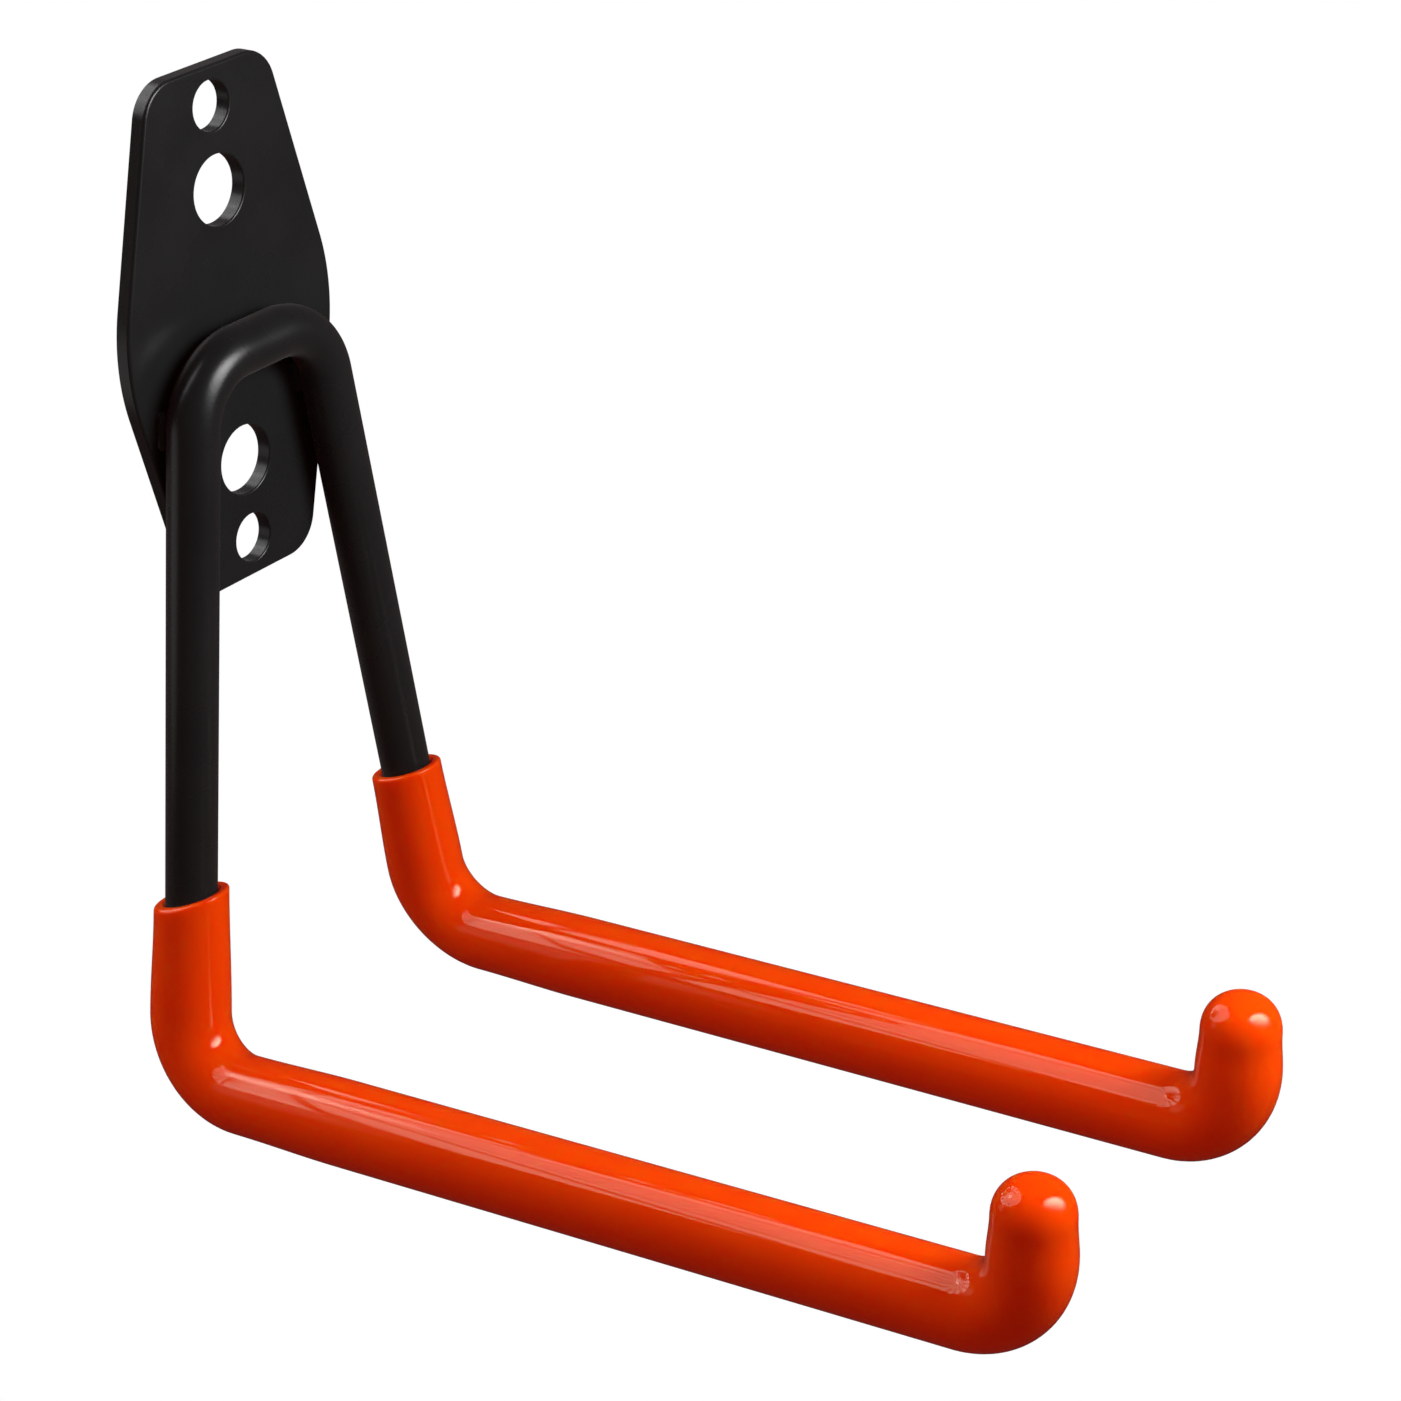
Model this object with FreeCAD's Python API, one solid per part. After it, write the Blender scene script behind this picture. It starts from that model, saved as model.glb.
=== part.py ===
import FreeCAD, Part
import math
import os
from FreeCAD import Vector

# Garage utility hook: a stamped wall plate, one round rod bent into an upside-down U with two
# forward arms, and a dipped plastic sleeve on each arm. Sizes are in millimetres.
# The origin is the centre of the plate's back face, which lies on the wall (the plane y = 0).
# +Z is up, +X is to the right seen from the room, and the arms point along -Y, into the room.

# Wall plate: a long hexagon with rounded corners
PLATE_HEIGHT = 80.0
PLATE_END_WIDTH = 25.6          # across the end corners, before they are rounded
PLATE_MIDDLE_WIDTH = 46.8       # across the two side corners, before they are rounded
PLATE_THICKNESS = 2.5
PLATE_END_CORNER_RADIUS = 6.3
PLATE_SIDE_CORNER_RADIUS = 33.0
PLATE_FRONT_ROUNDING = 0.5      # stamping rolls the front edge over and leaves the back one sharp

# Holes on the plate's vertical centreline, in pairs above and below the middle
SMALL_HOLE_DIAMETER = 7.6
SMALL_HOLE_INSET = 6.0          # from the plate's end to the hole's centre
LARGE_HOLE_DIAMETER = 10.8
LARGE_HOLE_STEP = 12.75         # from the small hole's centre to the large one's
HOLE_CHAMFER = 0.3

# Rod, given by its centreline's corners before the bends round them
ROD_DIAMETER = 8.0
ROD_PLATE_GAP = 0.1             # root gap that the weld seams bridge
BAR_HEIGHT = -1.7               # the U's top bar, from the plate's middle
BAR_SPAN = 27.0
LEG_DROP = 111.5
FOOT_SPAN = 60.6
ARM_REACH = 150.5
ARM_RISE = 8.45
ARM_END_SPAN = 56.8
TIP_RISE = 16.75                # from the arm's end corner to the centre of the dome
TIP_LEAN = 0.75
TIP_SPAN = 56.8
TOP_BEND_RADIUS = 10.8
LOWER_BEND_RADIUS = 10.8
TIP_BEND_RADIUS = 11.3
ROD_END_LENGTH = 2.0            # rod past the centre of the dome
ROD_END_CHAMFER = 1.0

# Sleeve, dipped thicker along the arm than at its open rim and at its tip
RIM_DISTANCE = 30.5             # from the lower corner up the leg's centreline to the rim
RIM_TILT = 16.5                 # degrees from level: the rim is highest on the room side
RIM_TRIM = 5.0                  # length above the rim that the slanting cut takes away
SLEEVE_RIM_RADIUS = 5.75
SLEEVE_HEEL_RADIUS = 6.25
SLEEVE_ARM_RADIUS = 6.6
SLEEVE_DOME_RADIUS = 5.9
SLEEVE_TAPER_LENGTH = 20.0      # along the arm, from the lower bend to the full size
SLEEVE_CLEARANCE = 0.1          # between the bore and the rod
SLEEVE_END_GAP = 0.2            # between the bore's bottom and the rod's end
RIM_ROUNDING = 0.6
RIM_FLARE = 0.4                 # chamfer round the bore's mouth

# Weld seams, one on each side of each leg
WELD_LENGTH = 6.0
WELD_RADIUS = 1.1
WELD_END_RADIUS = 0.4
WELD_HEIGHT = -11.0             # centre of the seams, from the plate's middle
WELD_LIFT = 0.55                # centreline of the seam above the plate's face
WELD_STANDOFF = 0.4             # centreline of the seam outside the rod's surface

TOLERANCE = 1e-6
FORWARD = Vector(0, -1, 0)

SMALL_HOLE_SPACING = PLATE_HEIGHT - 2 * SMALL_HOLE_INSET
LARGE_HOLE_SPACING = SMALL_HOLE_SPACING - 2 * LARGE_HOLE_STEP
ROD_RADIUS = ROD_DIAMETER / 2
ROD_Y = -(PLATE_THICKNESS + ROD_PLATE_GAP + ROD_RADIUS)
FOOT_HEIGHT = BAR_HEIGHT - LEG_DROP


def along(start, end, distance):
    """The point at a distance from start on the way to end."""
    return start + (end - start).normalize() * distance


def mirrored(point):
    """The same point on the other side of the hook's middle plane."""
    return Vector(-point.x, point.y, point.z)


def corner_arc(before, corner, after, radius):
    """Start, middle and end of the arc that rounds one corner."""
    to_before = (before - corner).normalize()
    to_after = (after - corner).normalize()
    half_angle = to_before.getAngle(to_after) / 2
    setback = radius / math.tan(half_angle)
    middle_distance = radius / math.sin(half_angle) - radius
    bisector = (to_before + to_after).normalize()
    return corner + to_before * setback, corner + bisector * middle_distance, corner + to_after * setback


def rounded_path(corners, radii, closed=False):
    """Straight and arc edges along the corners. An open path's two ends have no radius."""
    count = len(corners)
    rounded = range(count) if closed else range(1, count - 1)
    arcs = [corner_arc(corners[i - 1], corners[i], corners[(i + 1) % count], radius)
            for i, radius in zip(rounded, radii)]
    edges = []
    position = arcs[-1][2] if closed else corners[0]
    for start, middle, end in arcs:
        edges.append(Part.makeLine(position, start))
        edges.append(Part.Arc(start, middle, end).toShape())
        position = end
    if not closed:
        edges.append(Part.makeLine(position, corners[-1]))
    return edges


def ends_of(edge):
    """An edge's two end points."""
    return edge.valueAt(edge.FirstParameter), edge.valueAt(edge.LastParameter)


def round_bar(edges, radius):
    """A round solid of one radius along a path."""
    first = edges[0]
    start = first.FirstParameter
    circle = Part.makeCircle(radius, first.valueAt(start), first.tangentAt(start))
    return Part.Wire(edges).makePipe(Part.Face(Part.Wire([circle])))


def tapered_bar(start, end, start_radius, end_radius):
    """A straight round solid with its own radius at each end."""
    run = end - start
    return Part.makeCone(start_radius, end_radius, run.Length, start, run)


def edges_at(shape, y):
    """The edges that lie in the plane at y."""
    return [edge for edge in shape.Edges
            if all(abs(vertex.Y - y) < TOLERANCE for vertex in edge.Vertexes)]


# The rod's centreline on the right side; the left side is its mirror image
BAR_CORNER = Vector(BAR_SPAN / 2, ROD_Y, BAR_HEIGHT)
FOOT_CORNER = Vector(FOOT_SPAN / 2, ROD_Y, FOOT_HEIGHT)
ARM_END = Vector(ARM_END_SPAN / 2, ROD_Y - ARM_REACH, FOOT_HEIGHT + ARM_RISE)
DOME_CENTRE = Vector(TIP_SPAN / 2, ARM_END.y - TIP_LEAN, ARM_END.z + TIP_RISE)
TIP_LENGTH = (DOME_CENTRE - ARM_END).Length
ROD_END = along(ARM_END, DOME_CENTRE, TIP_LENGTH + ROD_END_LENGTH)


def wall_plate():
    """The stamped plate, with rounded edges and four screw holes."""
    end_x, side_x, end_z = PLATE_END_WIDTH / 2, PLATE_MIDDLE_WIDTH / 2, PLATE_HEIGHT / 2
    corners = [Vector(-end_x, 0, end_z), Vector(end_x, 0, end_z), Vector(side_x, 0, 0),
               Vector(end_x, 0, -end_z), Vector(-end_x, 0, -end_z), Vector(-side_x, 0, 0)]
    radii = [PLATE_END_CORNER_RADIUS, PLATE_END_CORNER_RADIUS, PLATE_SIDE_CORNER_RADIUS] * 2
    outline = Part.Wire(rounded_path(corners, radii, closed=True))
    plate = Part.Face(outline).extrude(FORWARD * PLATE_THICKNESS)
    plate = plate.makeFillet(PLATE_FRONT_ROUNDING, edges_at(plate, -PLATE_THICKNESS))
    for diameter, spacing in ((SMALL_HOLE_DIAMETER, SMALL_HOLE_SPACING),
                              (LARGE_HOLE_DIAMETER, LARGE_HOLE_SPACING)):
        for side in (1, -1):
            centre = Vector(0, 0, side * spacing / 2)
            front = centre + FORWARD * PLATE_THICKNESS
            hole = Part.makeCylinder(diameter / 2, PLATE_THICKNESS, centre, FORWARD)
            chamfer = Part.makeCone(diameter / 2 + HOLE_CHAMFER, diameter / 2, HOLE_CHAMFER, front, -FORWARD)
            plate = plate.cut(hole).cut(chamfer)
    return plate


def hook_rod():
    """The one rod: tip, arm, leg, U, leg, arm, tip."""
    right = [BAR_CORNER, FOOT_CORNER, ARM_END, ROD_END]
    left = [mirrored(point) for point in reversed(right)]
    bends = [TOP_BEND_RADIUS, LOWER_BEND_RADIUS, TIP_BEND_RADIUS]
    rod = round_bar(rounded_path(left + right, bends[::-1] + bends), ROD_RADIUS)
    ends = (ROD_END, mirrored(ROD_END))
    cut_ends = [edge for edge in rod.Edges
                if any((edge.CenterOfMass - end).Length < ROD_END_CHAMFER for end in ends)]
    return rod.makeChamfer(ROD_END_CHAMFER, cut_ends)


def right_sleeve():
    """The plastic sleeve over the right leg's foot, arm and tip."""
    rim = along(FOOT_CORNER, BAR_CORNER, RIM_DISTANCE)
    start = along(FOOT_CORNER, BAR_CORNER, RIM_DISTANCE + RIM_TRIM)
    bends = [LOWER_BEND_RADIUS, TIP_BEND_RADIUS]
    leg, heel, arm, tip_bend, tip = rounded_path([start, FOOT_CORNER, ARM_END, DOME_CENTRE], bends)
    arm_start, arm_end = ends_of(arm)
    taper_end = along(arm_start, arm_end, SLEEVE_TAPER_LENGTH)
    skin = tapered_bar(*ends_of(leg), SLEEVE_RIM_RADIUS, SLEEVE_HEEL_RADIUS).fuse([
        round_bar([heel], SLEEVE_HEEL_RADIUS),
        tapered_bar(arm_start, taper_end, SLEEVE_HEEL_RADIUS, SLEEVE_ARM_RADIUS),
        round_bar([Part.makeLine(taper_end, arm_end), tip_bend], SLEEVE_ARM_RADIUS),
        tapered_bar(*ends_of(tip), SLEEVE_ARM_RADIUS, SLEEVE_DOME_RADIUS),
        Part.makeSphere(SLEEVE_DOME_RADIUS, DOME_CENTRE),
    ])
    bore_end = along(ARM_END, ROD_END, TIP_LENGTH + ROD_END_LENGTH + SLEEVE_END_GAP)
    bore = round_bar(rounded_path([start, FOOT_CORNER, ARM_END, bore_end], bends),
                     ROD_RADIUS + SLEEVE_CLEARANCE)
    tilt = math.radians(RIM_TILT)
    rim_up = Vector(0, math.sin(tilt), math.cos(tilt))
    waste = Part.makeCylinder(2 * SLEEVE_ARM_RADIUS, 2 * RIM_TRIM, rim, rim_up)
    sleeve = skin.cut(bore).cut(waste)
    inner, outer = sorted((edge for edge in sleeve.Edges
                           if abs((edge.CenterOfMass - rim).dot(rim_up)) < TOLERANCE),
                          key=lambda edge: edge.Length)
    sleeve = sleeve.makeFillet(RIM_ROUNDING, [outer])
    mouth = [edge for edge in sleeve.Edges
             if abs((edge.CenterOfMass - rim).dot(rim_up)) < TOLERANCE
             and abs(edge.Length - inner.Length) < TOLERANCE]
    return sleeve.makeChamfer(RIM_FLARE, mouth)


def weld_seams(plate, rod):
    """Four short seams in the corners between the legs and the plate."""
    leg = (FOOT_CORNER - BAR_CORNER).normalize()
    across = leg.cross(Vector(0, 1, 0)).normalize()
    drop = (WELD_HEIGHT - BAR_HEIGHT) / leg.z
    seam_y = -(PLATE_THICKNESS + WELD_LIFT)
    reach = math.sqrt((ROD_RADIUS + WELD_STANDOFF) ** 2 - (ROD_Y - seam_y) ** 2)
    seams = []
    for side in (1, -1):
        centre = BAR_CORNER + leg * drop + across * (side * reach)
        centre.y = seam_y
        top = centre - leg * (WELD_LENGTH / 2 - WELD_RADIUS)
        bottom = centre + leg * (WELD_LENGTH / 2 - WELD_RADIUS)
        bead = Part.makeCylinder(WELD_RADIUS, (bottom - top).Length, top, leg)
        bead = bead.fuse([Part.makeCone(WELD_RADIUS, WELD_END_RADIUS, WELD_RADIUS, end, outwards)
                          for end, outwards in ((top, -leg), (bottom, leg))])
        bead = bead.cut(rod).cut(plate)
        seams += [bead, bead.mirror(Vector(0, 0, 0), Vector(1, 0, 0))]
    return Part.makeCompound([solid for seam in seams for solid in seam.Solids])


def main():
    os.makedirs("parts", exist_ok=True)
    plate = wall_plate()
    rod = hook_rod()
    sleeve = right_sleeve()
    nodes = {
        "wall_plate": plate,
        "hook_rod": rod,
        "right_sleeve": sleeve,
        "left_sleeve": sleeve.mirror(Vector(0, 0, 0), Vector(1, 0, 0)),
        "weld_seams": weld_seams(plate, rod),
    }
    for name, shape in nodes.items():
        shape.exportStep(f"parts/{name}.step")
        print(name, len(shape.Solids), shape.isValid(), round(shape.Volume, 1))


main()
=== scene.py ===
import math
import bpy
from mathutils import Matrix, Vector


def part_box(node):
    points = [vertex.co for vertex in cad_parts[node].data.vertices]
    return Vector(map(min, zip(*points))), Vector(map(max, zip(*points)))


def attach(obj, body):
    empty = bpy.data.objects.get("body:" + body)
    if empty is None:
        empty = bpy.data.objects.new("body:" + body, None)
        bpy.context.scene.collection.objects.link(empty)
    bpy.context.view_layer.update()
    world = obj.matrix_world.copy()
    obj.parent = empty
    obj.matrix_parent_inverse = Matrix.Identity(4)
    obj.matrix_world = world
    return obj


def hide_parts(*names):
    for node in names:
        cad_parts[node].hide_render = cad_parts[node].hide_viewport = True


bl_info = {
    "name": "Garage Utility Hook",
    "version": (1, 0, 0),
    "blender": (4, 5, 0),
    "location": "3D Viewport > Sidebar > Hook",
    "description": "Builds a wall hook with a drilled plate, a bent rod and dipped sleeves",
    "category": "Object",
}

import bmesh
import bpy
from bpy.props import (
    FloatProperty,
    FloatVectorProperty,
    IntProperty,
    PointerProperty,
)
from mathutils import Quaternion, Vector

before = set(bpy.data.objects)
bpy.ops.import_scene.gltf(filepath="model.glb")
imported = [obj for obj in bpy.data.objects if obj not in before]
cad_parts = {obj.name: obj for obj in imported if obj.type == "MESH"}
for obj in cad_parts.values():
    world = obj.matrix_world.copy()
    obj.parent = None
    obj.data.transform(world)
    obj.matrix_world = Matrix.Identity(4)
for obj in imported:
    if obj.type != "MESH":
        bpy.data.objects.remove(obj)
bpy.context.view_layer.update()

MM = 0.001
SIDES = (("right", 1.0), ("left", -1.0))
MERGE_DISTANCE = 1e-6

# How finely the skins are cut: the step along them, and the number of sides or steps round them.
SKIN_STEP = 0.6 * MM
BEAD_STEP = 0.1 * MM
ROD_SIDES = 48
SLEEVE_SIDES = 64
BEAD_SIDES = 24
DOME_STEPS = 24
LIP_STEPS = 8
CORNER_STEPS = 24
HOLE_STEPS = 96
EDGE_STEPS = 6

# The span of the noise mask that counts, so that thin and thick coating both show.
MASK_SPAN = (0.3, 0.7)

# The umbrella's pattern. A panel's middle line is at 0.5 and a rib at 0, and distances from the
# middle of the umbrella go up to 1 at its edge.
RIB_EDGE = (0.07, 0.2)
HUB_EDGE = (0.08, 0.2)
HUB_STRENGTH = 3.0
HEAD_PLACE = (-0.5, -0.05)
HEAD_EDGE = (0.12, 0.24)
HEAD_STRENGTH = 0.1

# The soft lamp and the back lamp fade towards their edges, and the soft lamp towards its bottom.
SOFT_EDGE = (0.4, 1.0)
SOFT_EDGE_STRENGTH = 0.1
SOFT_HEIGHT = (-0.8, 0.8)
SOFT_HEIGHT_STRENGTHS = (0.1, 1.9)
BACK_EDGE = (0.5, 1.0)
BACK_EDGE_STRENGTH = 0.3


def node_size(node):
    """The width, depth and height of one packed node."""
    low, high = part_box(node)
    return high - low


PLATE_BOX = node_size("wall_plate")


def length(name, description, default):
    """A size in metres that a user may change."""
    return FloatProperty(name=name, description=description, default=default, min=0.0,
                         precision=5, subtype="DISTANCE", unit="LENGTH")


def share(name, description, default):
    """A value between nothing and all."""
    return FloatProperty(name=name, description=description, default=default, min=0.0, max=1.0,
                         subtype="FACTOR")


def angle(name, description, degrees):
    """An angle that a user may change."""
    return FloatProperty(name=name, description=description, default=math.radians(degrees),
                         subtype="ANGLE")


def colour(name, description, default):
    """A linear colour that a user may change."""
    return FloatVectorProperty(name=name, description=description, default=default, size=3,
                               min=0.0, max=1.0, subtype="COLOR")


def place(name, description, default):
    """A point in the hook's own frame."""
    return FloatVectorProperty(name=name, description=description, default=default, size=3,
                               subtype="TRANSLATION", unit="LENGTH")


class PlateSizes(bpy.types.PropertyGroup):
    """Sizes of the stamped wall plate."""

    height: length("Height", "From end to end of the plate", PLATE_BOX.z)
    end_width: length("End width", "Across the end corners, before they are rounded", 25.6 * MM)
    middle_width: length("Middle width", "Across the side corners, before they are rounded", 46.8 * MM)
    thickness: length("Thickness", "Thickness of the sheet", PLATE_BOX.y)
    end_radius: length("End corner radius", "Rounding of the four end corners", 6.3 * MM)
    side_radius: length("Side corner radius", "Rounding of the two side corners", 33.0 * MM)
    front_rounding: length("Front rounding", "Rolled edge round the front face", 0.5 * MM)
    back_rounding: length("Back rounding", "Coated edge round the back face", 0.12 * MM)
    small_hole: length("Small hole", "Diameter of the outer holes", 7.6 * MM)
    small_hole_inset: length("Small hole inset", "From the plate's end to the outer hole", 6.0 * MM)
    large_hole: length("Large hole", "Diameter of the inner holes", 10.8 * MM)
    large_hole_step: length("Large hole step", "From an outer hole to the inner one", 12.75 * MM)
    hole_rounding: length("Hole rounding", "Rounding of the holes' front edges", 0.3 * MM)


class RodSizes(bpy.types.PropertyGroup):
    """Sizes of the bent rod, by the corners of its centreline before the bends round them."""

    diameter: length("Diameter", "Diameter of the round bar", 8.0 * MM)
    plate_gap: length("Plate gap", "Between the rod and the plate's front", 0.1 * MM)
    bar_height: FloatProperty(name="Bar height", description="The top bar, from the plate's middle",
                              default=-1.7 * MM, precision=5, subtype="DISTANCE", unit="LENGTH")
    bar_span: length("Bar span", "Between the top corners", 27.0 * MM)
    leg_drop: length("Leg drop", "From the top bar down to the lower corners", 111.5 * MM)
    foot_span: length("Foot span", "Between the lower corners", 60.6 * MM)
    arm_reach: length("Arm reach", "From the lower corners to the arms' end corners", 150.5 * MM)
    arm_rise: length("Arm rise", "How much the arms climb", 8.45 * MM)
    arm_end_span: length("Arm end span", "Between the arms' end corners", 56.8 * MM)
    tip_rise: length("Tip rise", "From the end corner up to the centre of the dome", 16.6 * MM)
    tip_lean: length("Tip lean", "How far the tips lean outwards", 0.75 * MM)
    tip_span: length("Tip span", "Between the centres of the domes", 56.8 * MM)
    bend_radius: length("Bend radius", "Of the centreline in the upper and lower bends", 10.8 * MM)
    tip_bend_radius: length("Tip bend radius", "Of the centreline below the tips", 11.3 * MM)
    end_length: length("End length", "Rod past the centre of the dome", 2.0 * MM)
    end_chamfer: length("End chamfer", "Chamfer at the cut ends", 1.0 * MM)


class SleeveSizes(bpy.types.PropertyGroup):
    """Sizes of the dipped sleeves."""

    rim_distance: length("Rim distance", "From the lower corner up the leg to the rim", 30.5 * MM)
    rim_tilt: angle("Rim tilt", "Slant of the rim, highest on the room side", 16.5)
    rim_radius: length("Rim radius", "Outside radius at the open rim", 5.75 * MM)
    heel_radius: length("Heel radius", "Outside radius at the lower bend", 6.25 * MM)
    arm_radius: length("Arm radius", "Outside radius along the arm", 6.6 * MM)
    tip_radius: length("Tip radius", "Outside radius above the last bend", 6.3 * MM)
    dome_radius: length("Dome radius", "Outside radius at the centre of the dome", 5.9 * MM)
    dome_fullness: FloatProperty(name="Dome fullness", default=2.25, min=2.0, max=4.0,
                                 description="2 is a half ball, more is a blunter dome")
    taper_length: length("Taper length", "From the lower bend to the full radius", 20.0 * MM)
    clearance: length("Clearance", "Between the bore and the rod", 0.1 * MM)
    end_gap: length("End gap", "Between the bore's bottom and the rod's end", 0.2 * MM)
    lip_rounding: length("Lip rounding", "Outer rounding of the rim", 0.6 * MM)
    mouth_flare: length("Mouth flare", "Chamfer round the bore's mouth", 0.4 * MM)


class WeldSizes(bpy.types.PropertyGroup):
    """Sizes of the four weld beads beside the legs."""

    bead_length: length("Bead length", "Length of one bead", 6.0 * MM)
    bead_radius: length("Bead radius", "Radius of one bead", 1.1 * MM)
    height: FloatProperty(name="Bead height", description="Centre of the beads, from the plate's middle",
                          default=-11.0 * MM, precision=5, subtype="DISTANCE", unit="LENGTH")
    lift: length("Lift", "Bead's centreline above the plate's face", 0.55 * MM)
    standoff: length("Standoff", "Bead's centreline outside the rod", 0.4 * MM)


class Finishes(bpy.types.PropertyGroup):
    """Colours and gloss of the coat and the plastic."""

    coat: colour("Coat", "Black powder coat", (0.0092, 0.0113, 0.0115))
    coat_thin: colour("Thin coat", "Powder coat where it is thinner", (0.0110, 0.0133, 0.0136))
    coat_roughness: share("Coat roughness", "Mean roughness of the powder coat", 0.27)
    coat_unevenness: share("Coat unevenness", "How far the coat's roughness varies", 0.03)
    coat_patch: length("Coat patch", "Size of the thin and thick patches in the coat", 12.0 * MM)
    coat_grain: length("Coat grain", "Size of the powder coat's grain", 0.55 * MM)
    coat_relief: length("Coat relief", "Height of the powder coat's grain", 0.012 * MM)
    plastic: colour("Plastic", "Orange plastic", (0.89, 0.082, 0.0003))
    plastic_deep: colour("Deep plastic", "Orange plastic where the dip ran thicker", (0.86, 0.070, 0.0002))
    # Painted reflection: a dark colour that glossy rays see on the sleeves in place of their orange, so the
    # black coat mirrors them darker.
    plastic_painted_reflection: colour("Mirrored plastic", "How the sleeves look in a coat that mirrors them",
                             (0.10, 0.06, 0.05))
    plastic_depth: length("Plastic depth", "How far red light spreads inside the plastic", 2.5 * MM)
    plastic_roughness: share("Plastic roughness", "Mean roughness of the plastic", 0.06)
    plastic_unevenness: share("Plastic unevenness", "How far the plastic's roughness varies", 0.01)
    plastic_patch: length("Plastic patch", "Size of the thin and thick patches in the plastic", 30.0 * MM)
    plastic_ripple: length("Plastic ripple", "Size of the waves in the dipped skin", 9.0 * MM)
    plastic_relief: length("Plastic relief", "Height of the waves in the dipped skin", 0.009 * MM)


class Studio(bpy.types.PropertyGroup):
    """Floor, lamps and camera."""

    floor_drop: length("Floor drop", "From the hook's origin down to the floor", 1.1)
    floor_size: length("Floor size", "Side of the square floor", 12.0)
    white: FloatProperty(name="White", description="Strength of the background that the camera sees",
                         default=1.0, min=0.0)
    mirrored_white: share("Mirrored white", "Share of the white background that glossy coats show", 0.022)
    surroundings: FloatProperty(name="Surroundings", description="Strength of the studio's own soft light",
                                default=0.28, min=0.0)
    surroundings_colour: colour("Surroundings colour", "Tint of the studio's own soft light",
                                (1.0, 0.22, 0.15))
    umbrella_place: place("Umbrella place", "Centre of the ribbed umbrella", (-0.121, 0.412, 0.358))
    umbrella_aim: place("Umbrella aim", "Where the umbrella points", (0.0, -0.08, -0.09))
    umbrella_width: length("Umbrella width", "Width of the umbrella", 0.92)
    umbrella_height: length("Umbrella height", "Height of the umbrella", 0.64)
    umbrella_turn: angle("Umbrella turn", "The umbrella's turn about its shaft", 40)
    umbrella_power: FloatProperty(name="Umbrella power", description="Power of the umbrella's lamp",
                                  default=4.4, min=0.0, subtype="POWER", unit="POWER")
    umbrella_ribs: IntProperty(name="Umbrella ribs", description="Number of ribs in the umbrella",
                               default=16, min=3)
    soft_place: place("Soft lamp place", "Centre of the soft lamp", (0.065, -0.36, 0.10))
    soft_aim: place("Soft lamp aim", "Where the soft lamp points", (0.0, -0.05, -0.06))
    soft_width: length("Soft lamp width", "Width of the soft lamp", 0.38)
    soft_height: length("Soft lamp height", "Height of the soft lamp", 0.27)
    soft_turn: angle("Soft lamp turn", "The soft lamp's turn about its own axis", -45)
    soft_power: FloatProperty(name="Soft lamp power", description="Power of the soft lamp",
                              default=2.6, min=0.0, subtype="POWER", unit="POWER")
    back_place: place("Back lamp place", "Centre of the dim lamp behind", (-0.115, 0.085, -0.045))
    back_size: length("Back lamp size", "Diameter of the dim lamp behind", 0.10)
    back_power: FloatProperty(name="Back lamp power", description="Power of the dim lamp behind",
                              default=0.012, min=0.0, subtype="POWER", unit="POWER")
    camera_place: place("Camera place", "The camera's centre", (-0.404735, -0.387437, 0.196698))
    camera_turn: FloatVectorProperty(name="Camera turn", description="The camera's rotation",
                                     default=(math.radians(64.70244), math.radians(2.43971),
                                              math.radians(-54.46759)), size=3, subtype="EULER")
    camera_lens: FloatProperty(name="Lens", description="Focal length on a 36 mm sensor, in millimetres",
                               default=101.012, min=1.0)


def mirrored(points, side):
    """The same points on the right (1) or the left (-1) side."""
    return [Vector((point.x * side, point.y, point.z)) for point in points]


def beyond(start, end, distance):
    """The point at a distance past end, on the line from start."""
    return end + (end - start).normalized() * distance


def rod_corners(rod, plate):
    """Top corner, lower corner, arm's end corner and dome centre of the right side."""
    y = -(plate.thickness + rod.plate_gap + rod.diameter / 2)
    bar = Vector((rod.bar_span / 2, y, rod.bar_height))
    foot = Vector((rod.foot_span / 2, y, rod.bar_height - rod.leg_drop))
    arm_end = Vector((rod.arm_end_span / 2, y - rod.arm_reach, foot.z + rod.arm_rise))
    dome = Vector((rod.tip_span / 2, arm_end.y - rod.tip_lean, arm_end.z + rod.tip_rise))
    return bar, foot, arm_end, dome


def bend_marks(corners, bends):
    """Where each bend of a rounded centreline starts and ends, and the whole length."""
    marks = []
    travelled = 0.0
    last_setback = 0.0
    for before, corner, after, radius in zip(corners, corners[1:], corners[2:], bends):
        turn = (corner - before).angle(after - corner)
        setback = radius * math.tan(turn / 2)
        start = travelled + (corner - before).length - last_setback - setback
        travelled = start + radius * turn
        last_setback = setback
        marks.append((start, travelled))
    return marks, travelled + (corners[-1] - corners[-2]).length - last_setback


def steps_between(start, end, step):
    """Evenly spaced distances from start to end, both included."""
    count = max(1, math.ceil(abs(end - start) / step))
    return [start + (end - start) * index / count for index in range(count + 1)]


def quarter_round(centre, radius, from_angle, count):
    """Points of a quarter circle in the plane of distance and radius, clockwise."""
    return [(centre[0] + radius * math.cos(from_angle - index * math.pi / 2 / count),
             centre[1] + radius * math.sin(from_angle - index * math.pi / 2 / count))
            for index in range(count + 1)]


def eased(value):
    """A smooth step from 0 to 1."""
    value = min(1.0, max(0.0, value))
    return value * value * (3 - 2 * value)


def add_socket(tree, name, kind, direction="INPUT", default=None, description=""):
    """A named socket on a node group."""
    socket = tree.interface.new_socket(name=name, in_out=direction, socket_type=kind,
                                       description=description)
    if default is not None:
        socket.default_value = default
    return socket


def add_node(tree, kind, inputs=None, **settings):
    """A node with its settings, and its inputs set to values or linked to sockets."""
    node = tree.nodes.new(kind)
    for key, value in settings.items():
        setattr(node, key, value)
    for key, value in (inputs or {}).items():
        socket = node.inputs[key]
        if isinstance(value, bpy.types.NodeSocket):
            tree.links.new(value, socket)
        else:
            socket.default_value = value
    return node


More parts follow.
